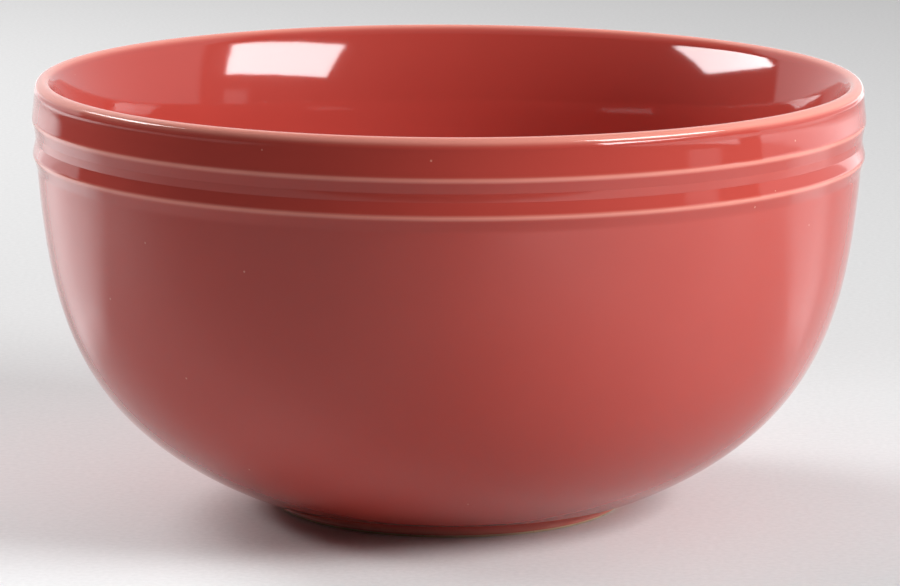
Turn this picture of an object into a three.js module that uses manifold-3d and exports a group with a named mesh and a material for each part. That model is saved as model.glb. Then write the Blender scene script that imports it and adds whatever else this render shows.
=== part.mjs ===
// A stoneware bowl, round and without a lid, in millimetres with +Z up.
// The clay is one fired body: foot ring, floor, wall, two ribs under the rim and a rounded lip.
// The glaze is a coat of glass on that body. One coat runs from the centre of the floor over the lip
// and down the outside to a line wiped clean just above the standing face. A second, separate patch
// fills the hollow inside the foot ring, and the standing face between the two is bare clay.
// The glaze thins where it runs off the lip and the ribs, and keeps its full thickness between them.
// The origin is the centre of the standing face.
import * as THREE from "three";
import { mergeVertices } from "three/addons/utils/BufferGeometryUtils.js";
import Module from "manifold-3d";

// Lip of the fired clay
const BODY_HEIGHT = 77.5; // from the standing face to the top of the lip
const LIP_RADIUS = 74.1; // outside of the lip
const LIP_THICKNESS = 2.4; // the lip is rounded over its whole thickness
const LIP_FLARE = 26; // degrees that the inside leans out where it meets the rounding of the lip
const FLARE_FULLNESS = 0.35; // how far both ends pull the flare's curve, as a share of its height

// Ribs, from the upper one down, like boards that overlap: a gentle ramp leans out to a crest, and a
// steeper undercut falls back below it. The reach is from the wall out to the crest.
const RIM_BAND = 0.9; // plain band between the rounding of the lip and the upper ramp
const RIBS = [
  { reach: 0.85, ramp: 4.6, under: 3.2 },
  { reach: 0.95, ramp: 3.1, under: 2.5 },
];
const FLANK_CURVE = 1.15; // power of the curve of both flanks: 1 is straight, and above it is hollow
const SHOULDER_BAND = 1; // plain band below the lower rib, down to the shoulder

// Wall, from the heel, where it rises from the underside, up to the shoulder
const SHOULDER_RADIUS = 73.6; // outside of the wall at the shoulder
const SHOULDER_LEAN = 3.9; // degrees that the wall leans out there
const HEEL_SLOPE = 24.1; // degrees that the wall rises at the heel
const HEEL_FULLNESS = 0.776; // how far the heel's slope pulls the curve, as a share of its width
const SHOULDER_FULLNESS = 0.477; // how far the shoulder's lean pulls it, as a share of its height
const WALL_AT_HEEL = 5.2; // thickness of the wall at the heel
const WALL_AT_SHOULDER = 6; // and at the shoulder, from where the inside flares out to the thin lip
const FLOOR_DISH = 1; // how far the middle of the floor lies below its edge

// Foot
const FOOT_RADIUS = 31.6; // outside of the foot ring
const FOOT_RING_WIDTH = 4.2; // from its outside to its inside
const FOOT_HEIGHT = 3.1; // from the standing face to the underside
const FOOT_FILLET = 1.1; // hollow rounding between the foot ring and the underside
const FOOT_WELL_DEPTH = 2.3; // depth of the hollow inside the ring
const FOOT_WELL_FILLET = 1; // hollow rounding at its edge
const STANDING_ROUND = 0.4; // rounding on both edges of the standing face
const HEEL_REACH = 7.1; // from the outside of the foot ring out to the heel
const HEEL_RISE = 1.2; // from the underside up to the heel

// Glaze
const GLAZE = 0.4; // thickness on the wall and in the hollows
const GLAZE_ON_EDGES = 0.2; // thickness where it has run off the lip and the crests
const WIPED_BAND = 0.1; // bare clay between the rounded edge of the standing face and the glaze

// Fineness of the mesh
const SEGMENTS = 48; // around the bowl, a multiple of 4 so that its widest points lie on X and Y
const WALL_STEPS = 7;
const RIB_STEPS = 2; // on each flank of a rib
const LIP_STEPS = 3; // on each side of the top of the lip
const FILLET_STEPS = 2;
const FLOOR_STEPS = 3;
const UNDERSIDE_STEPS = 2;
const FLARE_STEPS = 3;

const LIP_ROUND = LIP_THICKNESS / 2;
const LIP_CENTRE_HEIGHT = BODY_HEIGHT - LIP_ROUND;
const RIBBED_TOP = LIP_CENTRE_HEIGHT - RIM_BAND;
const RIBBED_HEIGHT = RIBS.reduce((sum, rib) => sum + rib.ramp + rib.under, 0);
const SHOULDER_HEIGHT = RIBBED_TOP - RIBBED_HEIGHT - SHOULDER_BAND;
const HEEL_RADIUS = FOOT_RADIUS + HEEL_REACH;
const HEEL_HEIGHT = FOOT_HEIGHT + HEEL_RISE;
const WELL_RADIUS = FOOT_RADIUS - FOOT_RING_WIDTH;
const GLAZE_LINE = STANDING_ROUND + WIPED_BAND;

// A place on the outline of the clay, with the thickness of the glaze that lies on it there
function station(radius, height, glaze = GLAZE) {
  return { radius, height, glaze };
}

// Stations along a round edge or fillet, from one angle to another, in degrees from the way outward
function roundEdge(centreRadius, centreHeight, round, from, to, steps, glaze = GLAZE) {
  return Array.from({ length: steps + 1 }, (_, i) => {
    const angle = THREE.MathUtils.degToRad(from + ((to - from) * i) / steps);
    return station(
      centreRadius + round * Math.cos(angle),
      centreHeight + round * Math.sin(angle),
      glaze,
    );
  });
}

// The outside of the wall, from the heel up to the shoulder
function wallCurve() {
  const slope = THREE.MathUtils.degToRad(HEEL_SLOPE);
  const lean = THREE.MathUtils.degToRad(SHOULDER_LEAN);
  const heelPull = HEEL_FULLNESS * (SHOULDER_RADIUS - HEEL_RADIUS);
  const shoulderPull = SHOULDER_FULLNESS * (SHOULDER_HEIGHT - HEEL_HEIGHT);
  return new THREE.CubicBezierCurve(
    new THREE.Vector2(HEEL_RADIUS, HEEL_HEIGHT),
    new THREE.Vector2(HEEL_RADIUS + heelPull, HEEL_HEIGHT + heelPull * Math.tan(slope)),
    new THREE.Vector2(SHOULDER_RADIUS - shoulderPull * Math.tan(lean), SHOULDER_HEIGHT - shoulderPull),
    new THREE.Vector2(SHOULDER_RADIUS, SHOULDER_HEIGHT),
  );
}

// The inside of the wall at a place on its outside: straight in through the clay. The thickness
// changes smoothly, so that the inside starts and ends in the same direction as the outside.
function insideOf(curve, along) {
  const share = THREE.MathUtils.smoothstep(along, 0, 1);
  const thickness = THREE.MathUtils.lerp(WALL_AT_HEEL, WALL_AT_SHOULDER, share);
  const outside = curve.getPoint(along);
  const rise = curve.getTangent(along);
  return station(outside.x - rise.y * thickness, outside.y + rise.x * thickness);
}

// A curve that leaves the heel along its slope and ends level, as the underside and the floor do
function levelOff(heelRadius, heelHeight, drop, endRadius) {
  const run = drop / Math.tan(THREE.MathUtils.degToRad(HEEL_SLOPE));
  return new THREE.QuadraticBezierCurve(
    new THREE.Vector2(heelRadius, heelHeight),
    new THREE.Vector2(heelRadius - run, heelHeight - drop),
    new THREE.Vector2(endRadius, heelHeight - drop),
  );
}

// The hollow inside the foot ring, from its centre out and down to the line of the glaze
function footWell() {
  return [
    station(0, FOOT_WELL_DEPTH),
    ...roundEdge(
      WELL_RADIUS - FOOT_WELL_FILLET,
      FOOT_WELL_DEPTH - FOOT_WELL_FILLET,
      FOOT_WELL_FILLET,
      90,
      0,
      FILLET_STEPS,
    ),
    station(WELL_RADIUS, GLAZE_LINE, GLAZE_ON_EDGES),
  ];
}

// The standing face with its two rounded edges, which stays bare
function standingFace() {
  const inner = WELL_RADIUS + STANDING_ROUND;
  const outer = FOOT_RADIUS - STANDING_ROUND;
  return [
    ...roundEdge(inner, STANDING_ROUND, STANDING_ROUND, 180, 270, FILLET_STEPS),
    ...roundEdge(outer, STANDING_ROUND, STANDING_ROUND, 270, 360, FILLET_STEPS),
  ];
}

// The outside of the foot ring and the underside, up to the heel
function footAndUnderside() {
  const filletEnd = FOOT_RADIUS + FOOT_FILLET;
  const underside = levelOff(HEEL_RADIUS, HEEL_HEIGHT, HEEL_RISE, filletEnd);
  return [
    station(FOOT_RADIUS, GLAZE_LINE, GLAZE_ON_EDGES),
    ...roundEdge(filletEnd, FOOT_HEIGHT - FOOT_FILLET, FOOT_FILLET, 180, 90, FILLET_STEPS),
    ...underside
      .getPoints(UNDERSIDE_STEPS)
      .reverse()
      .slice(1, -1)
      .map((p) => station(p.x, p.y)),
  ];
}

// The ribs stand on a straight band between the shoulder and the lip. Both flanks of a rib steepen a
// little towards its tight crest, where the glaze is thinnest.
function ribbedBand() {
  const onBand = (height) =>
    THREE.MathUtils.mapLinear(height, SHOULDER_HEIGHT, LIP_CENTRE_HEIGHT, SHOULDER_RADIUS, LIP_RADIUS);
  const stations = [station(onBand(RIBBED_TOP), RIBBED_TOP)];
  let top = RIBBED_TOP;
  for (const { reach, ramp, under } of RIBS) {
    const crest = top - ramp;
    for (let step = RIB_STEPS - 1; step >= -RIB_STEPS; step -= 1) {
      const along = step / RIB_STEPS;
      const height = crest + along * (step > 0 ? ramp : under);
      const swell = (1 - Math.abs(along)) ** FLANK_CURVE;
      const glaze = THREE.MathUtils.lerp(GLAZE, GLAZE_ON_EDGES, swell);
      stations.push(station(onBand(height) + reach * swell, height, glaze));
    }
    top = crest - under;
  }
  return stations.reverse();
}

// The way up a surface that leans out from the vertical, as a vector of the given length
function leaning(degrees, length) {
  const angle = THREE.MathUtils.degToRad(degrees);
  return new THREE.Vector2(length * Math.sin(angle), length * Math.cos(angle));
}

// The rounding of the lip, up its outside to the very top and on to where the inside flares down
function roundedLip() {
  const arc = (from, to) =>
    roundEdge(LIP_RADIUS - LIP_ROUND, LIP_CENTRE_HEIGHT, LIP_ROUND, from, to, LIP_STEPS, GLAZE_ON_EDGES);
  return [...arc(0, 90), ...arc(90, 180 - LIP_FLARE).slice(1)];
}

// The inside of the rim, from the rounding of the lip down to the shoulder
function flareCurve(wall) {
  const lipEnd = roundedLip().at(-1);
  const shoulder = insideOf(wall, 1);
  const top = new THREE.Vector2(lipEnd.radius, lipEnd.height);
  const bottom = new THREE.Vector2(shoulder.radius, shoulder.height);
  const pull = FLARE_FULLNESS * (top.y - bottom.y);
  return new THREE.CubicBezierCurve(
    top,
    top.clone().sub(leaning(LIP_FLARE, pull)),
    bottom.clone().add(leaning(SHOULDER_LEAN, pull)),
    bottom,
  );
}

// The inside from the rounding of the lip down the flare and the wall, and the floor to its centre
function inside(wall) {
  const heel = insideOf(wall, 0);
  const floor = levelOff(heel.radius, heel.height, FLOOR_DISH, 0);
  const flare = flareCurve(wall).getPoints(FLARE_STEPS);
  const stations = flare.slice(1, -1).map((p) => station(p.x, p.y));
  for (let step = WALL_STEPS; step >= 0; step -= 1) stations.push(insideOf(wall, step / WALL_STEPS));
  for (const p of floor.getPoints(FLOOR_STEPS).slice(1)) stations.push(station(p.x, p.y));
  return stations;
}

// All that the main coat covers, from the wiped line over the lip to the centre of the floor
function glazedOutline() {
  const wall = wallCurve();
  const wallStations = wall.getPoints(WALL_STEPS).map((p) => station(p.x, p.y));
  return [
    ...footAndUnderside(),
    ...wallStations,
    ...ribbedBand(),
    ...roundedLip(),
    ...inside(wall),
  ];
}

// The surface of the glaze: each station moved straight out from the clay by its thickness
function glazeSurface(outline) {
  return outline.map((here, i) => {
    const before = outline[Math.max(i - 1, 0)];
    const after = outline[Math.min(i + 1, outline.length - 1)];
    const out = new THREE.Vector2(after.height - before.height, before.radius - after.radius);
    if (here.radius === 0) out.x = 0;
    out.normalize().multiplyScalar(here.glaze);
    return station(here.radius + out.x, here.height + out.y);
  });
}

// An outline turned about the Z axis, as a closed mesh
function turned(outline) {
  const points = outline.map((p) => new THREE.Vector2(p.radius, p.height));
  const geometry = new THREE.LatheGeometry(points, SEGMENTS).rotateX(Math.PI / 2);
  geometry.deleteAttribute("normal");
  geometry.deleteAttribute("uv");
  return mergeVertices(geometry);
}

const wasm = await Module();
wasm.setup();

function solidOf(geometry) {
  return new wasm.Manifold(
    new wasm.Mesh({
      numProp: 3,
      vertProperties: geometry.attributes.position.array,
      triVerts: new Uint32Array(geometry.index.array),
    }),
  );
}

function meshOf(name, solid, material) {
  const { vertProperties, triVerts } = solid.getMesh();
  const geometry = new THREE.BufferGeometry();
  geometry.setAttribute("position", new THREE.BufferAttribute(vertProperties, 3));
  geometry.setIndex(new THREE.BufferAttribute(triVerts, 1));
  geometry.computeVertexNormals();
  const mesh = new THREE.Mesh(geometry, material);
  mesh.name = name;
  return mesh;
}

// A glaze is turned with its surface as its outside and its hidden side inside the clay: a corner in
// the middle of the foot ring and a face in the middle of the floor. The clay then cuts it to a coat.
const RING_MIDDLE = FOOT_RADIUS - FOOT_RING_WIDTH / 2;
const FLOOR_HEIGHT = insideOf(wallCurve(), 0).height - FLOOR_DISH;
const FLOOR_MIDDLE = (FOOT_WELL_DEPTH + FLOOR_HEIGHT) / 2;
const FLOOR_CENTRE = station(0, FLOOR_MIDDLE);
const RING_CORNERS = [station(RING_MIDDLE, FLOOR_MIDDLE), station(RING_MIDDLE, GLAZE_LINE)];

const clay = solidOf(turned([...footWell(), ...standingFace(), ...glazedOutline()]));
const coat = solidOf(turned([FLOOR_CENTRE, ...RING_CORNERS, ...glazeSurface(glazedOutline())]));
const patch = solidOf(
  turned([...glazeSurface(footWell()), ...[...RING_CORNERS].reverse(), FLOOR_CENTRE]),
);

const bareClay = new THREE.MeshStandardMaterial({ color: 0xd8c4a8, roughness: 0.9, metalness: 0 });
const redGlaze = new THREE.MeshStandardMaterial({ color: 0xa9483f, roughness: 0.12, metalness: 0 });

const bowl = new THREE.Group();
bowl.name = "stoneware_bowl";
bowl.add(
  meshOf("stoneware_body", clay, bareClay),
  meshOf("glaze_coat", coat.subtract(clay), redGlaze),
  meshOf("foot_well_glaze", patch.subtract(clay), redGlaze.clone()),
);

export default bowl;
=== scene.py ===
"""A round stoneware bowl with a red glaze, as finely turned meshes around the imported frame.

The clay, the main coat of glaze and the glaze in the hollow of the foot are each turned about the Z
axis from an outline in millimetres. The sizes are those of the part's own source.
"""

import logging
import math
from collections.abc import Iterable, Sequence
from dataclasses import dataclass, field
from enum import Enum
from functools import reduce

import bpy
from mathutils import Matrix, Vector


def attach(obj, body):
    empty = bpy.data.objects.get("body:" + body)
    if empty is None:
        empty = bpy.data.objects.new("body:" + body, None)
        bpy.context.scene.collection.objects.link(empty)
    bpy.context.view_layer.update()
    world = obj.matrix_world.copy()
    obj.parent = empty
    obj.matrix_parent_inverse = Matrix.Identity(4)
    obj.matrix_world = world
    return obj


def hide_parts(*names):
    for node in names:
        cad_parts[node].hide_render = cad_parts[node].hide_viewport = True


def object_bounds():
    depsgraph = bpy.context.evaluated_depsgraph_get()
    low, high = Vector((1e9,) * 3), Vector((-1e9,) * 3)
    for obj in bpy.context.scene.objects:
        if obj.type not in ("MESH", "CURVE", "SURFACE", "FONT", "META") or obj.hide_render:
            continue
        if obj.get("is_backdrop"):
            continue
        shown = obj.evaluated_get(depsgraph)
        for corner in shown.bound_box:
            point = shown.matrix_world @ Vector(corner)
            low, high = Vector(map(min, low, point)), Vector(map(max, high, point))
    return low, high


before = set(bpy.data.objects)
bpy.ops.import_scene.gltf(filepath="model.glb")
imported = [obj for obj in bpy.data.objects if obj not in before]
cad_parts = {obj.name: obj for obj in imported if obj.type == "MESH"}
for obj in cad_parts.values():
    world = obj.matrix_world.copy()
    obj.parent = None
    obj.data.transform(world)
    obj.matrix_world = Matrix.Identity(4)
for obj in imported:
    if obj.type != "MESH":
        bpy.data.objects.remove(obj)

LOG = logging.getLogger("bowl")
MM = 0.001
MEASURES = ("LENGTH", "DOT_PRODUCT")

Point = tuple[float, float]
Colour = tuple[float, float, float]


class Side(Enum):
    """How closely a stretch of an outline is stepped, by where it lies. The value is in mm."""

    LIP = 0.2
    RIBS = 0.27
    FOOT = 0.12
    WALL = 1.35
    FLOOR = 2.6
    HIDDEN = 4.0


class Piece(Enum):
    """The three bodies of the bowl: the piece's name, the node it stands for and its slot."""

    CLAY = ("bowl_clay", "stoneware_body", "bare_clay")
    COAT = ("bowl_glaze", "glaze_coat", "red_glaze")
    FOOT_WELL = ("bowl_foot_well_glaze", "foot_well_glaze", "red_glaze")

    @property
    def label(self) -> str:
        """The name of the finished object."""
        return self.value[0]

    @property
    def node(self) -> str:
        """The CAD node that the piece stands for."""
        return self.value[1]

    @property
    def slot(self) -> str:
        """The name of its material slot."""
        return self.value[2]


@dataclass(frozen=True)
class Station:
    """A place on the outline of the clay.

    glaze is the thickness of the glaze there, film how deep its colour is (0 where it has run thin,
    1 on the wall, more where it has pooled), and wave how freely the wall wavers there.
    """

    radius: float
    height: float
    glaze: float = 0.4
    film: float = 1.0
    wave: float = 0.0


Outline = list[Station]


@dataclass(frozen=True)
class Rib:
    """A rib under the lip, in mm: how far its crest reaches out and how long its flanks are."""

    reach: float
    ramp: float
    under: float


def lerp(low: float, high: float, share: float) -> float:
    """The value at a share of the way from low to high."""
    return low + (high - low) * share


def smooth(value: float, start: float, end: float) -> float:
    """0 before start, 1 after end and a smooth rise between."""
    share = min(max((value - start) / (end - start), 0.0), 1.0)
    return share * share * (3 - 2 * share)


def bezier(corners: Sequence[Point], share: float) -> tuple[Point, Point]:
    """A point of a Bezier curve and the direction there.

    Args:
        corners: the control points, first to last.
        share: how far along the curve, from 0 to 1.

    Returns:
        The point and the unit direction.
    """
    points = [Vector(c) for c in corners]
    while len(points) > 2:
        points = [a.lerp(b, share) for a, b in zip(points, points[1:])]
    here = points[0].lerp(points[1], share)
    way = (points[1] - points[0]).normalized()
    return (here.x, here.y), (way.x, way.y)


def stepped(length: float, side: Side) -> list[float]:
    """Even shares from 0 to 1 along a stretch, for the step of its side."""
    count = max(2, math.ceil(length / side.value))
    return [i / count for i in range(count + 1)]


@dataclass(frozen=True)
class BowlShape:
    """The outline of the fired clay and its glaze, in mm, as in the part's source."""

    body_height: float = 77.5
    lip_radius: float = 74.1
    lip_thickness: float = 2.4
    lip_flare: float = 26.0
    flare_fullness: float = 0.35
    rim_band: float = 0.9
    ribs: tuple[Rib, ...] = (Rib(0.85, 4.6, 3.2), Rib(0.95, 3.1, 2.5))
    flank_curve: float = 1.15
    shoulder_band: float = 1.0
    shoulder_radius: float = 73.6
    shoulder_lean: float = 3.9
    heel_slope: float = 24.1
    heel_fullness: float = 0.776
    shoulder_fullness: float = 0.477
    wall_at_heel: float = 5.2
    wall_at_shoulder: float = 6.0
    floor_dish: float = 1.0
    foot_radius: float = 31.6
    foot_ring_width: float = 4.2
    foot_height: float = 3.1
    foot_fillet: float = 1.1
    foot_well_depth: float = 2.3
    foot_well_fillet: float = 1.0
    standing_round: float = 0.4
    heel_reach: float = 7.1
    heel_rise: float = 1.2
    glaze: float = 0.4
    glaze_on_edges: float = 0.2
    wiped_band: float = 0.1
    inset: float = 0.002
    crest_round: float = 0.3
    crest_steps: int = 4
    crest_film: float = 0.2
    thin_above_crest: float = 0.6
    thin_below_crest: float = 0.9
    pooled_film: float = 1.15
    thin_below_lip: float = 1.4
    thin_over_lip: float = 15.0
    full_over_lip: float = 88.0
    rib_wave: float = 0.4
    still_below_lip: float = 2.5
    shoulder_ease: float = 2.0
    film_at_line: float = 0.35
    film_thins_from: float = 0.75
    lip_top: float = 0.2
    wall_stretch: float = 1.1
    wave_from: float = 0.05
    wave_full: float = 0.3
    calm_from: float = 0.85
    clay_step: float = 0.1

    @property
    def lip_round(self) -> float:
        """Radius of the rounding of the lip."""
        return self.lip_thickness / 2

    @property
    def lip_centre(self) -> Point:
        """Centre of the rounding of the lip."""
        return self.lip_radius - self.lip_round, self.body_height - self.lip_round

    @property
    def ribbed_top(self) -> float:
        """Height at which the upper rib's hollow starts."""
        return self.lip_centre[1] - self.rim_band

    @property
    def shoulder_height(self) -> float:
        """Height of the shoulder, under the lower rib."""
        ribbed = sum(rib.ramp + rib.under for rib in self.ribs)
        return self.ribbed_top - ribbed - self.shoulder_band

    @property
    def heel(self) -> Point:
        """Where the wall rises from the underside."""
        return self.foot_radius + self.heel_reach, self.foot_height + self.heel_rise

    @property
    def glaze_line(self) -> float:
        """Height of the wiped line above the standing face."""
        return self.standing_round + self.wiped_band

    @property
    def well_radius(self) -> float:
        """Radius of the hollow inside the foot ring."""
        return self.foot_radius - self.foot_ring_width

    def wall_corners(self) -> list[Point]:
        """The outside of the wall, from the heel up to the shoulder.

        Returns:
            The four control points of its curve.
        """
        slope = math.tan(math.radians(self.heel_slope))
        lean = math.tan(math.radians(self.shoulder_lean))
        radius, height = self.heel
        heel_pull = self.heel_fullness * (self.shoulder_radius - radius)
        shoulder_pull = self.shoulder_fullness * (self.shoulder_height - height)
        return [
            self.heel,
            (radius + heel_pull, height + heel_pull * slope),
            (self.shoulder_radius - shoulder_pull * lean, self.shoulder_height - shoulder_pull),
            (self.shoulder_radius, self.shoulder_height),
        ]

    def inside_of(self, share: float) -> Point:
        """The inside of the wall, straight in through the clay from its outside.

        Args:
            share: how far up the wall, from 0 at the heel to 1 at the shoulder.

        Returns:
            Radius and height of the place on the inside.
        """
        (radius, height), (out, up) = bezier(self.wall_corners(), share)
        thickness = lerp(self.wall_at_heel, self.wall_at_shoulder, smooth(share, 0, 1))
        return radius - up * thickness, height + out * thickness

    def level_off(self, start: Point, drop: float, end_radius: float) -> list[Point]:
        """Control points of a curve that leaves the heel along its slope and ends level.

        Args:
            start: where the curve starts.
            drop: how far it falls.
            end_radius: the radius at which it ends.

        Returns:
            Three control points.
        """
        radius, height = start
        run = drop / math.tan(math.radians(self.heel_slope))
        return [start, (radius - run, height - drop), (end_radius, height - drop)]

    def arc(
        self, centre: Point, radius: float, start: float, end: float, side: Side, glaze: float
    ) -> Outline:
        """Stations along a round edge or a fillet.

        Args:
            centre: radius and height of its centre.
            radius: its own radius.
            start: angle of its start, in degrees from the way outward.
            end: angle of its end.
            side: how closely it is stepped.
            glaze: thickness of the glaze on it.

        Returns:
            The stations, both ends included.
        """
        length = radius * math.radians(abs(end - start))
        turn = [math.radians(lerp(start, end, s)) for s in stepped(length, side)]
        return [
            Station(centre[0] + radius * math.cos(a), centre[1] + radius * math.sin(a), glaze)
            for a in turn
        ]

    def foot_well(self) -> Outline:
        """The hollow inside the foot ring, from its centre out and down to the wiped line.

        Returns:
            The stations.
        """
        fillet = self.foot_well_fillet
        centre = (self.well_radius - fillet, self.foot_well_depth - fillet)
        flat = [
            Station(centre[0] * s, self.foot_well_depth, self.glaze)
            for s in stepped(centre[0], Side.FLOOR)[:-1]
        ]
        corner = self.arc(centre, fillet, 90, 0, Side.FOOT, self.glaze)
        side = self.down_to_line(self.well_radius, centre[1])
        return [*flat, *corner, *side[1:]]

    def down_to_line(self, radius: float, top: float) -> Outline:
        """The upright side of the foot ring, where the glaze thins towards the wiped line.

        Args:
            radius: the side's radius.
            top: the height that it starts at.

        Returns:
            The stations, from the top down.
        """
        stations = []
        for share in stepped(top - self.glaze_line, Side.FOOT):
            height = lerp(top, self.glaze_line, share)
            glaze = lerp(self.glaze, self.glaze_on_edges, share)
            film = lerp(1.0, self.film_at_line, smooth(share, self.film_thins_from, 1))
            stations.append(Station(radius, height, glaze, film))
        return stations

    def standing_face(self) -> Outline:
        """The bare standing face with its two rounded edges.

        Returns:
            The stations, from the inner edge to the outer.
        """
        edge = self.standing_round
        inner = (self.well_radius + edge, edge)
        outer = (self.foot_radius - edge, edge)
        return [
            *self.arc(inner, edge, 180, 270, Side.FOOT, 0),
            *self.arc(outer, edge, 270, 360, Side.FOOT, 0),
        ]

    def foot_and_underside(self) -> Outline:
        """The outside of the foot ring and the underside, from the wiped line up to the heel.

        Returns:
            The stations, without the heel itself.
        """
        fillet = self.foot_fillet
        centre = (self.foot_radius + fillet, self.foot_height - fillet)
        side = self.down_to_line(self.foot_radius, centre[1])[::-1]
        corner = self.arc(centre, fillet, 180, 90, Side.FOOT, self.glaze)
        corners = self.level_off(self.heel, self.heel_rise, centre[0])
        steps = stepped(self.heel[0] - centre[0], Side.RIBS)[::-1]
        under = [Station(*bezier(corners, s)[0], self.glaze) for s in steps[::2]]
        return [*side, *corner[1:], *under[1:-1]]

    def wall(self) -> Outline:
        """The outside of the wall, from the heel up to the shoulder.

        Returns:
            The stations, which waver less towards the ribs.
        """
        corners = self.wall_corners()
        stations = []
        for share in stepped(self.shoulder_height * self.wall_stretch, Side.WALL):
            radius, height = bezier(corners, share)[0]
            calm = lerp(1, self.rib_wave, smooth(share, self.calm_from, 1))
            wave = smooth(share, self.wave_from, self.wave_full) * calm
            stations.append(Station(radius, height, self.glaze, 1.0, wave))
        return stations

    def crests(self) -> list[tuple[Rib, float]]:
        """The ribs and where they are.

        Returns:
            Each rib with the height of its crest, from the upper one down.
        """
        found, top = [], self.ribbed_top
        for rib in self.ribs:
            found.append((rib, top - rib.ramp))
            top -= rib.ramp + rib.under
        return found

    def swell(self, rib: Rib, rise: float) -> float:
        """How far out a rib is at a height above its crest, as a share of its reach."""
        along = rise / (rib.ramp if rise > 0 else rib.under)
        return max(0.0, 1 - abs(along)) ** self.flank_curve

    def on_band(self, height: float) -> float:
        """Radius of the ribbed band at a height, with the creases and crests eased.

        Args:
            height: the height above the standing face.

        Returns:
            The mean radius over a short way up and down.
        """
        low, high = self.shoulder_height, self.lip_centre[1]
        slope = (self.lip_radius - self.shoulder_radius) / (high - low)
        steps = self.crest_steps
        nearby = [i / steps * self.crest_round for i in range(-steps, steps + 1)]
        swells = (
            rib.reach * self.swell(rib, height + off - crest)
            for rib, crest in self.crests()
            for off in nearby
        )
        lean = math.tan(math.radians(self.shoulder_lean)) - slope
        up = height - low
        eased = lean * up * math.exp(-up / self.shoulder_ease)
        return self.shoulder_radius + slope * up + eased + sum(swells) / len(nearby)

    def ribbed_band(self) -> Outline:
        """The band under the lip, where each rib ramps out to a crest and falls back below it.

        Returns:
            The stations between the shoulder and the lip, without both.
        """
        low, high = self.shoulder_height, self.lip_centre[1]
        stations = []
        for share in stepped(high - low, Side.RIBS)[1:-1]:
            height = lerp(low, high, share)
            thin = max(self.swell(rib, height - crest) for rib, crest in self.crests())
            film = self.pooled_film if height < self.crests()[0][1] else 1.0
            for _, crest in self.crests():
                above = smooth(height - crest, 0, self.thin_above_crest)
                below = smooth(crest - height, 0, self.thin_below_crest)
                film = min(film, lerp(self.crest_film, film, max(above, below)))
            film = min(film, self.film_below_lip(height))
            glaze = lerp(self.glaze, self.glaze_on_edges, thin)
            still = smooth(height, high - self.still_below_lip, high)
            wave = self.rib_wave * (1 - still)
            stations.append(Station(self.on_band(height), height, glaze, film, wave))
        return stations

    def film_below_lip(self, height: float) -> float:
        """How deep the colour is at a height on the outside of the lip."""
        top = self.body_height - self.lip_top
        return 1 - smooth(height, top - self.thin_below_lip, top)

    def lip(self) -> Outline:
        """The rounding of the lip, over the top to where the inside flares down.

        Returns:
            The stations.
        """
        stations = self.arc(
            self.lip_centre, self.lip_round, 0, 180 - self.lip_flare, Side.LIP, self.glaze_on_edges
        )
        return [Station(s.radius, s.height, s.glaze, self.film_on_lip(s)) for s in stations]

    def film_on_lip(self, place: Station) -> float:
        """How deep the colour is on the rounding of the lip, thinnest at its very top.

        Args:
            place: a station on the lip.

        Returns:
            The film there.
        """
        radius, height = self.lip_centre
        turn = math.degrees(math.atan2(place.height - height, place.radius - radius))
        if turn <= 90:
            return self.film_below_lip(place.height)
        return smooth(turn - 90, self.thin_over_lip, self.full_over_lip)

    def inside(self) -> Outline:
        """The inside, from the rounding of the lip down the flare, the wall and the floor.

        Returns:
            The stations, down to the centre of the floor.
        """
        end = self.lip()[-1]
        top, bottom = (end.radius, end.height), self.inside_of(1)
        pull = self.flare_fullness * (top[1] - bottom[1])
        flare, lean = math.radians(self.lip_flare), math.radians(self.shoulder_lean)
        corners = [
            top,
            (top[0] - pull * math.sin(flare), top[1] - pull * math.cos(flare)),
            (bottom[0] + pull * math.sin(lean), bottom[1] + pull * math.cos(lean)),
            bottom,
        ]
        stations = []
        for share in stepped(top[1] - bottom[1], Side.RIBS)[2:-1:2]:
            stations.append(Station(*bezier(corners, share)[0], self.glaze))
        for share in stepped(self.shoulder_height, Side.WALL)[::-1]:
            stations.append(Station(*self.inside_of(share), self.glaze))
        heel = self.inside_of(0)
        floor = self.level_off(heel, self.floor_dish, 0)
        for share in stepped(heel[0], Side.FLOOR)[1:]:
            stations.append(Station(*bezier(floor, share)[0], self.glaze))
        return stations

    def glazed(self) -> Outline:
        """All that the main coat covers, from the wiped line over the lip to the floor's centre."""
        return [
            *self.foot_and_underside(),
            *self.wall(),
            *self.ribbed_band(),
            *self.lip(),
            *self.inside(),
        ]

    def clay(self) -> Outline:
        """The whole outline of the fired clay, from the centre underneath to the floor's centre."""
        return [*self.foot_well(), *self.standing_face(), *self.glazed()]


def glaze_surface(outline: Outline, inset: float) -> Outline:
    """The surface of the glaze: each station moved straight out from the clay.

    Args:
        outline: stations on the clay.
        inset: how far the surface stays inside the part's own.

    Returns:
        Stations on the glaze, with the same film and wave.
    """
    moved = []
    last = len(outline) - 1
    for i, here in enumerate(outline):
        before, after = outline[max(i - 1, 0)], outline[min(i + 1, last)]
        out = Vector((after.height - before.height, before.radius - after.radius))
        if here.radius == 0:
            out.x = 0
        out.normalize()
        out *= here.glaze - inset
        place = here.radius + out.x, here.height + out.y
        moved.append(Station(*place, 0, here.film, here.wave))
    return moved


def thinned(outline: Outline, step: float) -> Outline:
    """An outline with the stations left out that lie closer than a step to the one before.

    Args:
        outline: the stations.
        step: the shortest way from one to the next, in mm.

    Returns:
        The stations that are kept, with the first and the last.
    """
    kept = [outline[0]]
    for here in outline[1:-1]:
        gap = math.hypot(here.radius - kept[-1].radius, here.height - kept[-1].height)
        if gap >= step:
            kept.append(here)
    return [*kept, outline[-1]]


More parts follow.
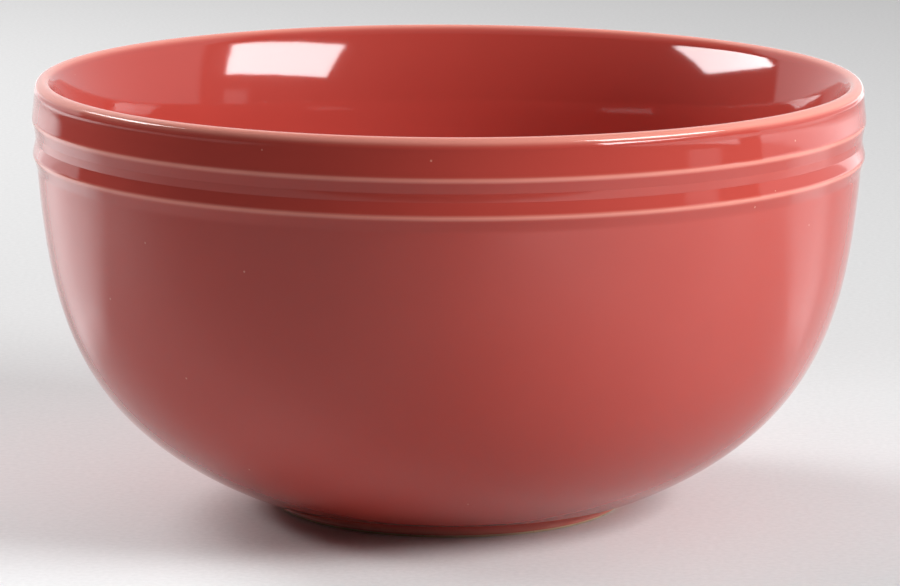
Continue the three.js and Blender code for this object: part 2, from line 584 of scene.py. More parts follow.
class Board:
    """A node tree with short ways to add nodes and join them."""

    def __init__(self, tree: bpy.types.NodeTree) -> None:
        """Keeps the tree that the nodes go into."""
        self.tree = tree

    def add(self, kind: str, **settings: object) -> bpy.types.Node:
        """Adds a node.

        Args:
            kind: the node's type.
            **settings: its properties, by name.

        Returns:
            The node.
        """
        node = self.tree.nodes.new(kind)
        for name, value in settings.items():
            setattr(node, name, value)
        return node

    def feed(self, socket: bpy.types.NodeSocket, source: object) -> None:
        """Joins an output to a socket, or sets the socket's own value.

        Args:
            socket: the input.
            source: an output or a plain value.
        """
        if isinstance(source, bpy.types.NodeSocket):
            self.tree.links.new(source, socket)
        else:
            socket.default_value = source

    def fed(self, node: bpy.types.Node, *sources: object) -> bpy.types.NodeSocket:
        """Feeds a node's inputs in their order.

        Args:
            node: the node.
            *sources: an output or a plain value for each of its first inputs.

        Returns:
            The node's first output.
        """
        for socket, source in zip(node.inputs, sources):
            self.feed(socket, source)
        return node.outputs[0]

    def math(self, operation: str, *sources: object) -> bpy.types.NodeSocket:
        """A Math node on one to three outputs or numbers."""
        return self.fed(self.add("ShaderNodeMath", operation=operation), *sources)

    def whole(self, operation: str, *sources: object) -> bpy.types.NodeSocket:
        """An Integer Math node on two outputs or numbers."""
        return self.fed(self.add("FunctionNodeIntegerMath", operation=operation), *sources)

    def product(self, *factors: object) -> bpy.types.NodeSocket:
        """Outputs or numbers multiplied together."""
        return reduce(lambda a, b: self.math("MULTIPLY", a, b), factors)

    def total(self, *parts: object) -> bpy.types.NodeSocket:
        """Outputs or numbers added up."""
        return reduce(lambda a, b: self.math("ADD", a, b), parts)

    def vector(self, x: object, y: object, z: object) -> bpy.types.NodeSocket:
        """A vector of three outputs or numbers."""
        return self.fed(self.add("ShaderNodeCombineXYZ"), x, y, z)

    def split(self, vector: bpy.types.NodeSocket) -> tuple[bpy.types.NodeSocket, ...]:
        """Takes a vector apart.

        Args:
            vector: the output that gives it.

        Returns:
            Its X, Y and Z.
        """
        node = self.add("ShaderNodeSeparateXYZ")
        self.fed(node, vector)
        return tuple(node.outputs)

    def vectors(self, operation: str, *sources: object) -> bpy.types.NodeSocket:
        """Adds a Vector Math node.

        Args:
            operation: what it does.
            *sources: one or two outputs or plain vectors.

        Returns:
            Its vector, or its number where it measures.
        """
        node = self.add("ShaderNodeVectorMath", operation=operation)
        self.fed(node, *sources)
        return node.outputs["Value" if operation in MEASURES else "Vector"]

    def blend(
        self, share: object, low: object, high: object, how: str = "MIX"
    ) -> bpy.types.NodeSocket:
        """A colour between two others.

        Args:
            share: how much of high there is.
            low: an output or a linear colour.
            high: an output or a linear colour.
            how: the way that high goes over low.

        Returns:
            The colour output.
        """
        node = self.add("ShaderNodeMix", data_type="RGBA", clamp_factor=True, blend_type=how)
        self.feed(node.inputs["Factor"], share)
        self.feed(node.inputs[6], opaque(low))
        self.feed(node.inputs[7], opaque(high))
        return node.outputs[2]

    def ramp(
        self, source: object, start: float, end: float, least: float = 0.0
    ) -> bpy.types.NodeSocket:
        """A smooth rise to 1.

        Args:
            source: the output or number that it follows.
            start: where it starts.
            end: where it is 1.
            least: its value at the start and before.

        Returns:
            The output.
        """
        node = self.add("ShaderNodeMapRange", interpolation_type="SMOOTHSTEP")
        self.feed(node.inputs["Value"], source)
        preset(node, {"From Min": start, "From Max": end, "To Min": least})
        return node.outputs[0]

    def noise(self, place: object, scale: float, detail: float = 2.0) -> bpy.types.NodeSocket:
        """A noise between about 0 and 1.

        Args:
            place: the coordinates.
            scale: its waves per metre.
            detail: how many finer noises lie over it.

        Returns:
            The output.
        """
        node = self.add("ShaderNodeTexNoise")
        self.feed(node.inputs["Vector"], place)
        preset(node, {"Scale": scale, "Detail": detail})
        return node.outputs[0]

    def bump(self, shader: bpy.types.Node, height: bpy.types.NodeSocket, depth: float) -> None:
        """Gives a shader a bump.

        Args:
            shader: the shader node.
            height: the output that gives the height.
            depth: how deep it is, in metres.
        """
        node = self.add("ShaderNodeBump")
        preset(node, {"Strength": 1.0, "Distance": depth})
        self.feed(node.inputs["Height"], height)
        self.feed(shader.inputs["Normal"], node.outputs["Normal"])

    def step(
        self,
        kind: str,
        geometry: bpy.types.NodeSocket,
        sources: dict[str, object] | None = None,
        **settings: object,
    ) -> bpy.types.NodeSocket:
        """Adds a node that changes a geometry.

        Args:
            kind: the node's type.
            geometry: what goes into its first input.
            sources: outputs or values for its other inputs, by name.
            **settings: its properties, by name.

        Returns:
            The changed geometry.
        """
        node = self.add(kind, **settings)
        self.feed(node.inputs[0], geometry)
        for name, source in (sources or {}).items():
            self.feed(node.inputs[name], source)
        return node.outputs[0]


def preset(node: bpy.types.Node, values: dict[str, object]) -> None:
    """Sets a node's own sockets by name."""
    for name, value in values.items():
        node.inputs[name].default_value = value


def opaque(colour: object) -> object:
    """A linear colour with alpha 1, or an output as it is."""
    return (*colour, 1.0) if isinstance(colour, tuple) else colour


def linear(red: int, green: int, blue: int) -> Colour:
    """The linear colour of an sRGB one given as three numbers up to 255."""
    parts = [c / 255 for c in (red, green, blue)]
    return tuple(c / 12.92 if c <= 0.04045 else ((c + 0.055) / 1.055) ** 2.4 for c in parts)


def into_scene(thing: bpy.types.Object) -> bpy.types.Object:
    """Links an object into the scene and gives it back."""
    bpy.context.scene.collection.objects.link(thing)
    return thing


class FinishNodes:
    """What every finish starts from: a material, its board, its shader and Object coordinates."""

    def __init__(self, name: str) -> None:
        """Makes the material.

        Args:
            name: its name.
        """
        self.material = bpy.data.materials.new(name)
        self.material.use_nodes = True
        self.board = Board(self.material.node_tree)
        self.shader = self.material.node_tree.nodes["Principled BSDF"]
        self.place = self.board.add("ShaderNodeTexCoord").outputs["Object"]


@dataclass(frozen=True)
class RedGlaze:
    """The glossy red glaze: coral where it has run thin, deeper where it has pooled."""

    thin: Colour = linear(235, 144, 128)
    body: Colour = linear(186, 68, 58)
    pooled: Colour = linear(160, 48, 40)
    pooled_from: float = 0.95
    pooled_full: float = 1.3
    speck: Colour = linear(222, 160, 140)
    roughness: float = 0.07
    refraction: float = 1.52
    haze: float = 0.15
    haze_roughness: float = 0.6
    mottle_scale: float = 55.0
    mottle_detail: float = 4.0
    mottle: float = 0.12
    speck_scale: float = 290.0
    speck_reach: float = 0.055
    speck_share: float = 0.16
    speck_strength: float = 0.6
    peel_scale: float = 420.0
    peel_detail: float = 1.0
    peel_depth: float = 0.006 * MM

    def material(self, name: str) -> bpy.types.Material:
        """Builds the glaze's node material.

        Args:
            name: the material's name.

        Returns:
            The material, which reads the film attribute and Object coordinates.
        """
        nodes = FinishNodes(name)
        board, shader, place = nodes.board, nodes.shader, nodes.place
        film = board.add("ShaderNodeAttribute", attribute_name="film").outputs["Fac"]
        cloud = board.noise(place, self.mottle_scale, self.mottle_detail)
        depth = board.total(film, board.product(board.math("SUBTRACT", cloud, 0.5), self.mottle))
        colour = board.blend(board.ramp(depth, 0.0, 1.0), self.thin, self.body)
        deep = board.ramp(depth, self.pooled_from, self.pooled_full)
        colour = board.blend(deep, colour, self.pooled)
        colour = board.blend(self.specks(board, place), colour, self.speck)
        board.feed(shader.inputs["Base Color"], colour)
        preset(shader, {"Roughness": self.roughness, "IOR": self.refraction})
        preset(shader, {"Coat Weight": self.haze, "Coat Roughness": self.haze_roughness})
        board.bump(shader, board.noise(place, self.peel_scale, self.peel_detail), self.peel_depth)
        return nodes.material

    def specks(self, board: Board, place: bpy.types.NodeSocket) -> bpy.types.NodeSocket:
        """The pale specks, one in some of the cells of a pattern.

        Args:
            board: the node tree.
            place: the Object coordinates.

        Returns:
            An output that is their strength on a speck and 0 between them.
        """
        cells = board.add("ShaderNodeTexVoronoi")
        board.feed(cells.inputs["Vector"], place)
        preset(cells, {"Scale": self.speck_scale})
        near = board.math("LESS_THAN", cells.outputs["Distance"], self.speck_reach)
        chance = board.fed(board.add("ShaderNodeSeparateColor"), cells.outputs["Color"])
        rare = board.math("LESS_THAN", chance, self.speck_share)
        return board.product(near, rare, self.speck_strength)


@dataclass(frozen=True)
class BareClay:
    """Fired stoneware clay: cream, matte and gritty, with a few iron specks."""

    pale: Colour = linear(222, 200, 170)
    warm: Colour = linear(196, 164, 128)
    tone_scale: float = 160.0
    tone_detail: float = 5.0
    iron: Colour = linear(104, 74, 52)
    iron_scale: float = 1400.0
    iron_from: float = 0.66
    iron_full: float = 0.72
    roughness: float = 0.88
    grit_scale: float = 900.0
    grit_detail: float = 3.0
    grit_depth: float = 0.08 * MM

    def material(self, name: str) -> bpy.types.Material:
        """Builds the clay's node material.

        Args:
            name: the material's name.

        Returns:
            The material, which reads Object coordinates.
        """
        nodes = FinishNodes(name)
        board, shader, place = nodes.board, nodes.shader, nodes.place
        tone = board.noise(place, self.tone_scale, self.tone_detail)
        iron = board.ramp(board.noise(place, self.iron_scale), self.iron_from, self.iron_full)
        colour = board.blend(iron, board.blend(tone, self.pale, self.warm), self.iron)
        board.feed(shader.inputs["Base Color"], colour)
        preset(shader, {"Roughness": self.roughness})
        board.bump(shader, board.noise(place, self.grit_scale, self.grit_detail), self.grit_depth)
        return nodes.material


@dataclass
class TurnedForm:
    """Turns an outline about the Z axis with a Geometry Nodes tree, with slight unevenness."""

    segments: int = 320
    wave_depth: float = 0.25 * MM
    waves_round: float = 2.8
    waves_up: float = 9.0
    seed: float = 5.0
    weld: float = 0.001 * MM
    group: bpy.types.NodeTree | None = field(default=None, init=False)

    def tree(self) -> bpy.types.NodeTree:
        """Builds the tree once.

        Returns:
            The node group, with an input for each size.
        """
        if self.group:
            return self.group
        group = bpy.data.node_groups.new("turned_form", "GeometryNodeTree")
        sockets = group.interface
        sockets.new_socket("Outline", in_out="INPUT", socket_type="NodeSocketGeometry")
        sockets.new_socket("Segments", in_out="INPUT", socket_type="NodeSocketInt")
        for name in ("Wave Depth", "Waves Round", "Waves Up", "Seed", "Weld"):
            sockets.new_socket(name, in_out="INPUT", socket_type="NodeSocketFloat")
        sockets.new_socket("Finish", in_out="INPUT", socket_type="NodeSocketMaterial")
        sockets.new_socket("Turned", in_out="OUTPUT", socket_type="NodeSocketGeometry")
        board = Board(group)
        given = board.add("NodeGroupInput").outputs
        size = board.add("GeometryNodeAttributeDomainSize", component="MESH")
        board.feed(size.inputs[0], given["Outline"])
        across = board.whole("ADD", given["Segments"], 1)
        grid = board.add("GeometryNodeMeshGrid")
        board.feed(grid.inputs["Vertices X"], size.outputs["Point Count"])
        board.feed(grid.inputs["Vertices Y"], across)
        index = board.add("GeometryNodeInputIndex").outputs[0]
        row = board.whole("DIVIDE_FLOOR", index, across)
        column = board.whole("MODULO", index, across)

        def on_row(kind: str, value: bpy.types.NodeSocket) -> bpy.types.NodeSocket:
            """A value of the outline at the row's station."""
            sources = {"Value": value, "Index": row}
            return board.step(
                "GeometryNodeSampleIndex", given["Outline"], sources, data_type=kind, domain="POINT"
            )

        def named(name: str) -> bpy.types.NodeSocket:
            """Reads a named attribute of the outline at the row's station.

            Args:
                name: the attribute's name.

            Returns:
                The output.
            """
            node = board.add("GeometryNodeInputNamedAttribute", data_type="FLOAT")
            preset(node, {"Name": name})
            return on_row("FLOAT", node.outputs["Attribute"])

        position = board.add("GeometryNodeInputPosition").outputs[0]
        out, _, up = board.split(on_row("FLOAT_VECTOR", position))
        turn = board.math("DIVIDE", board.product(column, math.tau), given["Segments"])
        cos, sin = board.math("COSINE", turn), board.math("SINE", turn)
        wave = board.add("ShaderNodeTexNoise", noise_dimensions="4D")
        waves = [
            board.product(share, given[name])
            for share, name in ((cos, "Waves Round"), (sin, "Waves Round"), (up, "Waves Up"))
        ]
        board.feed(wave.inputs["Vector"], board.vector(*waves))
        board.feed(wave.inputs["W"], given["Seed"])
        preset(wave, {"Scale": 1.0, "Detail": 1.0})
        dent = board.product(wave.outputs[0], given["Wave Depth"], named("wave"))
        radius = board.math("SUBTRACT", out, dent)
        place = board.vector(board.product(radius, cos), board.product(radius, sin), up)
        form = board.step("GeometryNodeSetPosition", grid.outputs["Mesh"], {"Position": place})
        form = board.step(
            "GeometryNodeStoreNamedAttribute",
            form,
            {"Name": "film", "Value": named("film")},
            data_type="FLOAT",
            domain="POINT",
        )
        form = board.step("GeometryNodeMergeByDistance", form, {"Distance": given["Weld"]})
        faces = board.add("GeometryNodeInputMeshEdgeNeighbors").outputs[0]
        bare = {"Selection": board.math("LESS_THAN", faces, 1)}
        form = board.step("GeometryNodeDeleteGeometry", form, bare, domain="EDGE", mode="EDGE_FACE")
        form = board.step("GeometryNodeFlipFaces", form)
        form = board.step("GeometryNodeSetShadeSmooth", form)
        form = board.step("GeometryNodeRealizeInstances", form)
        form = board.step("GeometryNodeSetMaterial", form, {"Material": given["Finish"]})
        board.feed(board.add("NodeGroupOutput").inputs["Turned"], form)
        self.group = group
        return group

    def outline_mesh(self, name: str, outline: Outline) -> bpy.types.Mesh:
        """The outline as a line of vertices with its film and wave, in metres.

        Args:
            name: the mesh's name.
            outline: the stations.

        Returns:
            The mesh.
        """
        mesh = bpy.data.meshes.new(name)
        points = [(s.radius * MM, 0.0, s.height * MM) for s in outline]
        mesh.from_pydata(points, [(i, i + 1) for i in range(len(points) - 1)], [])
        for label in ("film", "wave"):
            values = [getattr(s, label) for s in outline]
            mesh.attributes.new(label, "FLOAT", "POINT").data.foreach_set("value", values)
        return mesh

    def make(self, piece: Piece, outline: Outline, finish: bpy.types.Material) -> bpy.types.Object:
        """Turns an outline into a finished piece.

        Args:
            piece: which body of the bowl it is.
            outline: its closed outline, up the outside and down the inside.
            finish: its material.

        Returns:
            The object, a plain mesh that rides on the body and stands for its node.
        """
        label = piece.label + "_outline"
        source = into_scene(bpy.data.objects.new(label, self.outline_mesh(label, outline)))
        modifier = source.modifiers.new("turned", "NODES")
        modifier.node_group = self.tree()
        values = {
            "Segments": self.segments,
            "Wave Depth": self.wave_depth,
            "Waves Round": self.waves_round,
            "Waves Up": self.waves_up,
            "Seed": self.seed,
            "Weld": self.weld,
            "Finish": finish,
        }
        for socket in self.tree().interface.items_tree:
            if socket.name in values:
                modifier[socket.identifier] = values[socket.name]
        evaluated = source.evaluated_get(bpy.context.evaluated_depsgraph_get())
        mesh = bpy.data.meshes.new_from_object(evaluated)
        mesh.name = piece.label
        bpy.data.objects.remove(source)
        made = into_scene(bpy.data.objects.new(piece.label, mesh))
        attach(made, "root")
        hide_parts(piece.node)
        LOG.info("%s: %d vertices, %d faces", piece.label, len(mesh.vertices), len(mesh.polygons))
        return made


@dataclass
class Bowl:
    """The whole bowl: the clay, the main coat of glaze and the glaze under the foot."""

    shape: BowlShape = field(default_factory=BowlShape)
    turner: TurnedForm = field(default_factory=TurnedForm)
    glaze: RedGlaze = field(default_factory=RedGlaze)
    clay: BareClay = field(default_factory=BareClay)

    def build(self) -> list[bpy.types.Object]:
        """Builds and dresses the three pieces.

        Returns:
            The clay, the coat and the glaze in the foot well.
        """
        bare = self.clay.material("bare_clay")
        red = self.glaze.material("red_glaze")
        body = thinned(self.shape.clay(), self.shape.clay_step)
        return [
            self.turner.make(Piece.CLAY, body, bare),
            self.turner.make(Piece.COAT, self.coat(self.shape.glazed()), red),
            self.turner.make(Piece.FOOT_WELL, self.coat(self.shape.foot_well()), red),
        ]

    def coat(self, outline: Outline) -> Outline:
        """The closed outline of a coat: its surface, and back along the clay."""
        surface = glaze_surface(outline, self.shape.inset)
        return [*surface, *thinned(outline, Side.HIDDEN.value)[::-1], surface[0]]


def way_to(azimuth: float, elevation: float) -> Vector:
    """The unit vector at an azimuth, from the camera's side towards +X, and an elevation."""
    a, e = math.radians(azimuth), math.radians(elevation)
    return Vector((math.sin(a) * math.cos(e), -math.cos(a) * math.cos(e), math.sin(e)))


class Shows(Enum):
    """What a lamp does: light the bowl and the table, or show in the glaze's reflections."""

    AS_LIGHT = "light"
    IN_MIRROR = "mirror"


@dataclass(frozen=True)
class Softbox:
    """A lamp in a soft box, placed by the way to it from the bowl, in degrees.

    Sizes are in metres and the power is in watts. A real soft box throws most of its light ahead,
    so its light and its reflection are two lamps of their own.
    """

    name: str
    azimuth: float
    elevation: float
    faces_azimuth: float
    faces_elevation: float
    roll: float
    width: float
    height: float
    power: float
    shows: Shows = Shows.AS_LIGHT
    tint: Colour = (0.98, 1.0, 1.0)
    distance: float = 1.0

    def place(self, target: Vector) -> bpy.types.Object:
        """Adds the lamp.

        Args:
            target: the point that the azimuth and elevation are counted from.

        Returns:
            The lamp's object.
        """
        lamp = bpy.data.lights.new(self.name, "AREA")
        lamp.shape = "RECTANGLE"
        lamp.size, lamp.size_y = self.width * self.distance, self.height * self.distance
        lamp.energy = self.power * self.distance**2
        lamp.color = self.tint
        away = way_to(self.faces_azimuth, self.faces_elevation)
        side = -away.cross(Vector((0, 0, 1))).normalized()
        turned = Matrix((side, away.cross(side), away)).transposed().to_4x4()
        spot = target + way_to(self.azimuth, self.elevation) * self.distance
        thing = into_scene(bpy.data.objects.new(self.name, lamp))
        roll = Matrix.Rotation(math.radians(self.roll), 4, "Z")
        thing.matrix_world = Matrix.Translation(spot) @ turned @ roll
        thing.visible_camera = False
        thing.visible_glossy = self.shows is Shows.IN_MIRROR
        thing.visible_diffuse = self.shows is Shows.AS_LIGHT
        return thing


@dataclass(frozen=True)
class PaintedStreak:
    """A painted reflection: a soft bright stretch of the table that glows for glossy rays alone, so
    that the bowl mirrors it, counted from the bowl's edge.

    The edge is in metres along X; the azimuth and half the width are in degrees. It is brightest
    between its near and its far distance, in metres.
    """

    edge: float
    azimuth: float
    reach: float
    strength: float
    near: float = 0.03
    far: float = 0.45
    fade: float = 0.055

    def output(self, board: Board, place: bpy.types.NodeSocket) -> bpy.types.NodeSocket:
        """How bright the streak is at a place on the table.

        Args:
            board: the node tree.
            place: the place.

        Returns:
            An output from 0 to the streak's strength.
        """
        away = board.vectors("SUBTRACT", place, (self.edge, 0, 0))
        along = board.vectors(
            "DOT_PRODUCT", board.vectors("NORMALIZE", away), way_to(self.azimuth, 0)
        )
        across = board.ramp(along, math.cos(math.radians(self.reach)), 1.0)
        distance = board.vectors("LENGTH", away)
        reached = board.ramp(distance, self.near, self.near + self.fade)
        left = board.ramp(distance, self.far + self.fade, self.far)
        return board.product(reached, left, self.strength, across)


@dataclass(frozen=True)
class Table:
    """The pale table top. Places on it are in metres along X and Y.

    The camera sees a pale sheet, with painted light and shade: brighter near the front, darker
    behind and darker on the right at the front. For the light that it throws back and for what the
    glaze mirrors, the sheet ends at its front and left edges, and is dimmer ahead of the bowl,
    which is painted shade. The left edge ends at an azimuth behind which the sheet is pale again.
    Only in the glaze, its far part glows like the backdrop behind it, with a painted sheen ahead on
    the right
    and two painted streaks beside the bowl: painted reflections, an emission that glossy rays alone
    see.
    """

    # Painted light and shade: near is the brighter front of the sheet, far its darker back, and the
    # front's right side is darker again.
    near: Colour = linear(236, 236, 237)
    shaded_near_right: Colour = linear(222, 225, 226)
    right_from: float = 0.03
    right_full: float = 0.08
    far: Colour = linear(204, 202, 202)
    near_until: float = -0.04
    far_from: float = 0.16
    grain_light: float = 1.05
    grain_dark: float = 0.88
    grain_scale: float = 900.0
    grain_detail: float = 4.0
    shade: Colour = (0.03, 0.028, 0.028)
    roughness: float = 0.9
    specular: float = 0.1
    radius: float = 4.5
    steps: int = 96
    front_edge: float = -0.29
    left_edge: float = -0.475
    edge_blur: float = 0.02
    pale_behind: float = -127.0
    behind_blur: float = 0.12
    # Painted shade ahead of the bowl: how dim the sheet is in the glaze's reflections and for its
    # bounced light, and where that starts and is full.
    dim_mirrored: float = 0.5
    dim_as_light: float = 0.82
    dim_until: float = -0.12
    dim_from: float = 0.05
    # Painted reflections: the glow, the sheen and the streaks are an emission that only glossy rays
    # see.
    glow: Colour = (1.0, 1.0, 1.02)
    glow_near: float = 0.5
    glow_far: float = 1.1
    glow_right: float = 1.7
    glow_right_from: float = 0.3
    painted_sheen: float = 0.6
    sheen_from: float = 0.0
    sheen_full: float = 0.12
    sheen_behind: float = 0.0
    sheen_front: float = -0.08
    painted_streaks: tuple[PaintedStreak, ...] = (
        PaintedStreak(-0.07, -128.0, 30.0, 1.0),
        PaintedStreak(0.07, 113.0, 19.0, 0.65),
    )

    def build(self) -> bpy.types.Object:
        """Adds the table as a large disc.

        Returns:
            The table's object.
        """
        ring = [math.tau * i / self.steps for i in range(self.steps)]
        mesh = bpy.data.meshes.new("table")
        points = [(self.radius * math.cos(a), self.radius * math.sin(a), 0.0) for a in ring]
        mesh.from_pydata(points, [], [tuple(range(self.steps))])
        mesh.materials.append(self.material())
        table = into_scene(bpy.data.objects.new("table", mesh))
        table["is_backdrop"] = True
        return table

    def material(self) -> bpy.types.Material:
        """Builds the paper-like finish.

        Returns:
            The material, which reads Object coordinates and the kind of ray.
        """
        nodes = FinishNodes("paper")
        board, shader, place = nodes.board, nodes.shader, nodes.place
        x, y, _ = board.split(place)
        ray = board.add("ShaderNodeLightPath").outputs
        mirrored = ray["Is Glossy Ray"]
        sheet = self.sheet(board, x, y)
        # Painted shade: ahead of the bowl the sheet is dimmer for the light that it throws back,
        # and dimmer still in the glaze.
        ahead = board.ramp(y, self.dim_from, self.dim_until)
        gain = self.dim_as_light - self.dim_mirrored
        lost = board.math("MULTIPLY_ADD", mirrored, gain, 1 - self.dim_as_light)
        dimmed = board.math("SUBTRACT", 1.0, board.product(ahead, lost))
        paper = board.math("MAXIMUM", board.product(sheet, dimmed), ray["Is Camera Ray"])
        colour = board.blend(paper, self.shade, self.tone(board, place))
        board.feed(shader.inputs["Base Color"], colour)
        preset(shader, {"Roughness": self.roughness, "Specular IOR Level": self.specular})
        preset(shader, {"Emission Color": opaque(self.glow)})
        # Painted reflection: the sheet glows for glossy rays only, so only the glaze shows it.
        glow = board.product(self.brightness(board, place), sheet, mirrored)
        board.feed(shader.inputs["Emission Strength"], glow)
        return nodes.material

    def sheet(
        self, board: Board, x: bpy.types.NodeSocket, y: bpy.types.NodeSocket
    ) -> bpy.types.NodeSocket:
        """Where the sheet lies for all rays but the camera's.

        Args:
            board: the node tree.
            x: the place along X.
            y: the place along Y.

        Returns:
            An output that is 1 on the sheet and 0 beyond its edges.
        """
        blur = self.edge_blur
        behind = board.ramp(y, self.front_edge - blur, self.front_edge + blur)
        right = board.ramp(x, self.left_edge - blur, self.left_edge + blur)
        angle = math.radians(self.pale_behind)
        round_back = board.total(
            board.product(x, -math.cos(angle)), board.product(y, -math.sin(angle))
        )
        back = board.ramp(round_back, 0.0, self.behind_blur)
        return board.product(behind, board.math("MAXIMUM", right, back))

    def tone(self, board: Board, place: bpy.types.NodeSocket) -> bpy.types.NodeSocket:
        """The paper's colour with painted light and shade, brighter at the front and darker behind
        and at the front's right, with its grain.

        Args:
            board: the node tree.
            place: the place on the table.

        Returns:
            The colour output.
        """
        x, y, _ = board.split(place)
        near = board.blend(
            board.ramp(x, self.right_from, self.right_full), self.near, self.shaded_near_right
        )
        plain = board.blend(board.ramp(y, self.near_until, self.far_from), near, self.far)
        grain = board.noise(place, self.grain_scale, self.grain_detail)
        fine = board.blend(grain, (self.grain_light,) * 3, (self.grain_dark,) * 3)
        return board.blend(1.0, plain, fine, "MULTIPLY")

    def brightness(self, board: Board, place: bpy.types.NodeSocket) -> bpy.types.NodeSocket:
        """How brightly the table glows in the glaze, as a painted reflection.

        Args:
            board: the node tree.
            place: the place on the table.

        Returns:
            The output: the far glow, the painted sheen and the painted streaks together.
        """
        x, y, _ = board.split(place)
        more = board.ramp(x, 0.0, self.glow_right_from, 1 / self.glow_right)
        far = board.product(
            board.ramp(board.vectors("LENGTH", place), self.glow_near, self.glow_far),
            board.product(more, self.glow_right),
        )
        painted_sheen = board.product(
            board.ramp(x, self.sheen_from, self.sheen_full),
            board.ramp(y, self.sheen_behind, self.sheen_front),
            self.painted_sheen,
        )
        return board.total(far, painted_sheen, *(s.output(board, place) for s in self.painted_streaks))


@dataclass(frozen=True)
class Stand:
    """A dark lamp stand to the right, which only the glaze shows, in metres and degrees."""

    azimuth: float = 84.0
    distance: float = 0.62
    width: float = 0.085
    depth: float = 0.02
    height: float = 1.2
    colour: Colour = (0.02, 0.018, 0.018)
    worn: float = 1.6
    worn_scale: float = 30.0
    roughness: float = 0.6

    def build(self) -> bpy.types.Object:
        """Adds the stand as a flat upright box.

        Returns:
            The stand's object.
        """
        mesh = bpy.data.meshes.new("stand")
        half, deep, high = self.width / 2, self.depth / 2, self.height
        sides = [(x, y, z) for x in (-half, half) for y in (-deep, deep) for z in (0, high)]
        faces = [(0, 1, 3, 2), (4, 6, 7, 5), (0, 4, 5, 1), (2, 3, 7, 6), (0, 2, 6, 4), (1, 5, 7, 3)]
        mesh.from_pydata(sides, [], faces)
        mesh.materials.append(self.material())
        stand = into_scene(bpy.data.objects.new("stand", mesh))
        turn = Matrix.Rotation(math.radians(self.azimuth), 4, "Z")
        spot = way_to(self.azimuth, 0) * self.distance
        stand.matrix_world = Matrix.Translation(spot) @ turn
        stand.visible_camera = False
        stand.visible_shadow = False
        stand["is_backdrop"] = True
        return stand

    def material(self) -> bpy.types.Material:
        """Builds the dark, slightly worn metal.

        Returns:
            The material, which reads Object coordinates.
        """
        nodes = FinishNodes("dark_metal")
        worn = tuple(c * self.worn for c in self.colour)
        spots = nodes.board.noise(nodes.place, self.worn_scale)
        tone = nodes.board.blend(spots, self.colour, worn)
        nodes.board.feed(nodes.shader.inputs["Base Color"], tone)
        preset(nodes.shader, {"Roughness": self.roughness})
        return nodes.material


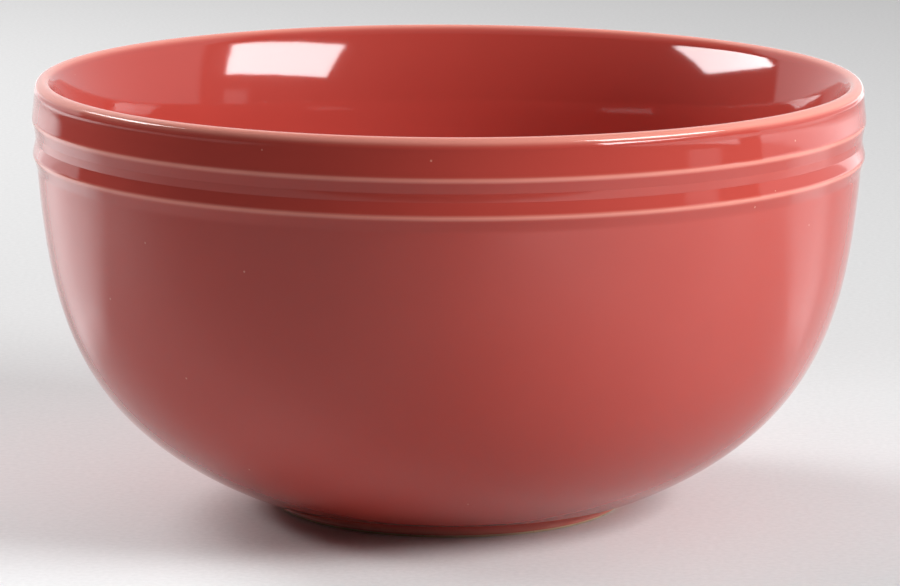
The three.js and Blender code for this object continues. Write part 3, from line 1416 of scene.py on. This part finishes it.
@dataclass
class Studio:
    """The pale table, the room round it and its lamps.

    The edges of the backdrop and of the pale patch on the right are azimuths in degrees, and their
    tops are heights of the unit direction.
    """

    table: Table = field(default_factory=Table)
    stand: Stand = field(default_factory=Stand)
    seen: Colour = linear(216, 214, 215)
    right_wall: Colour = (0.8, 0.8, 0.82)
    left_wall: Colour = (0.95, 0.94, 0.95)
    walls_blend: float = 0.4
    ceiling: Colour = (0.28, 0.28, 0.28)
    patch: Colour = (0.85, 0.83, 0.85)
    patch_left: float = 66.0
    patch_right: float = 79.5
    patch_top: float = 0.24
    room: Colour = (0.03, 0.028, 0.028)
    backdrop_right: float = 84.5
    backdrop_left: float = -119.5
    backdrop_top: float = 0.75
    blur: float = 0.05
    aim: float = 70 * MM
    lamps: tuple[Softbox, ...] = (
        Softbox(
            "right_box", 63.9, 29.6, 33.3, -3.4, 10.6, 0.736, 0.322, 13.2, Shows.IN_MIRROR,
            (1.0, 0.98, 1.0),
        ),
        Softbox(
            "left_box", -102.6, 27.8, -77.0, -40.5, -13.4, 0.528, 0.492, 12.3, Shows.IN_MIRROR,
            (1.0, 0.98, 1.0),
        ),
        Softbox("key", 65.0, 28.0, 65.0, 28.0, 0.0, 0.42, 0.42, 10.5, tint=(0.96, 1.0, 1.0)),
        Softbox("low_fill", 80.0, 8.0, 80.0, 8.0, 0.0, 0.3, 0.3, 1.8),
        Softbox("left_fill", -99.8, 27.8, -74.2, -40.5, -13.4, 0.528, 0.492, 9.0),
        Softbox("back_fill", -134.0, 30.0, -134.0, 30.0, 0.0, 0.45, 0.45, 7.4),
    )

    def build(self) -> None:
        """Adds the table, the stand, the room and the lamps."""
        self.table.build()
        self.stand.build()
        self.add_room()
        for lamp in self.lamps:
            lamp.place(Vector((0, 0, self.aim)))
            LOG.info("%s placed", lamp.name)

    def add_room(self) -> None:
        """Sets the world: a ceiling, a backdrop behind and beside the bowl, a dim room in front."""
        world = bpy.data.worlds.new("room")
        world.use_nodes = True
        bpy.context.scene.world = world
        board = Board(world.node_tree)
        x, y, z = board.split(board.add("ShaderNodeTexCoord").outputs["Generated"])

        def beyond(azimuth: float, sign: float) -> bpy.types.NodeSocket:
            """Tells how far a direction lies beyond an upright edge.

            Args:
                azimuth: the edge's azimuth, in degrees.
                sign: 1 if higher azimuths lie beyond it, -1 if lower ones do.

            Returns:
                The output, above 0 beyond the edge.
            """
            a = math.radians(azimuth)
            across = board.product(x, sign * math.cos(a))
            return board.total(across, board.product(y, sign * math.sin(a)))

        behind = board.math(
            "MINIMUM", beyond(self.backdrop_right, 1), beyond(self.backdrop_left, -1)
        )
        to_right = board.ramp(x, -self.walls_blend, self.walls_blend)
        pale = board.blend(to_right, self.left_wall, self.right_wall)
        beside = board.math("MINIMUM", beyond(self.patch_left, 1), beyond(self.patch_right, -1))
        below = board.math("SUBTRACT", self.patch_top, z)
        patch = board.ramp(board.math("MINIMUM", beside, below), 0.0, self.blur)
        room = board.blend(patch, self.room, self.patch)
        walls = board.blend(board.ramp(behind, 0.0, self.blur), room, pale)
        high = board.ramp(z, self.backdrop_top - self.blur, self.backdrop_top + self.blur)
        lit = board.blend(high, walls, self.ceiling)
        seen = board.add("ShaderNodeLightPath").outputs["Is Camera Ray"]
        sky = world.node_tree.nodes["Background"]
        board.feed(sky.inputs["Color"], board.blend(seen, lit, self.seen))
        preset(sky, {"Strength": 1.0})


@dataclass
class PhotoCamera:
    """The camera at the photograph's place, in mm and degrees."""

    place: tuple[float, float, float] = (0.28, -836.47, 194.42)
    pitch: float = 10.59
    roll: float = 0.211
    lens: float = 187.64
    clip: tuple[float, float] = (10.0, 20000.0)

    def build(self) -> bpy.types.Object:
        """Adds the camera and makes it the scene's.

        Returns:
            The camera's object.
        """
        camera = bpy.data.cameras.new("photo_camera")
        camera.lens = self.lens
        camera.clip_start, camera.clip_end = (c * MM for c in self.clip)
        thing = into_scene(bpy.data.objects.new("photo_camera", camera))
        tilt = Matrix.Rotation(math.radians(90 - self.pitch), 4, "X")
        roll = Matrix.Rotation(math.radians(self.roll), 4, "Z")
        thing.matrix_world = Matrix.Translation(Vector(self.place) * MM) @ tilt @ roll
        bpy.context.scene.camera = thing
        return thing


def as_lists(box: Iterable[Vector]) -> list[list[float]]:
    """The two corners of a box as plain lists."""
    return [list(corner) for corner in box]


def main(cad_box: list[list[float]]) -> None:
    """Builds the studio, the camera and the bowl.

    Args:
        cad_box: the two corners of the CAD box; not used.
    """
    logging.basicConfig(level=logging.INFO, format="%(name)s %(message)s")
    bpy.context.scene.view_settings.view_transform = "Standard"
    Studio().build()
    PhotoCamera().build()
    Bowl().build()


if __name__ == "__main__":
    main(as_lists(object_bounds()))
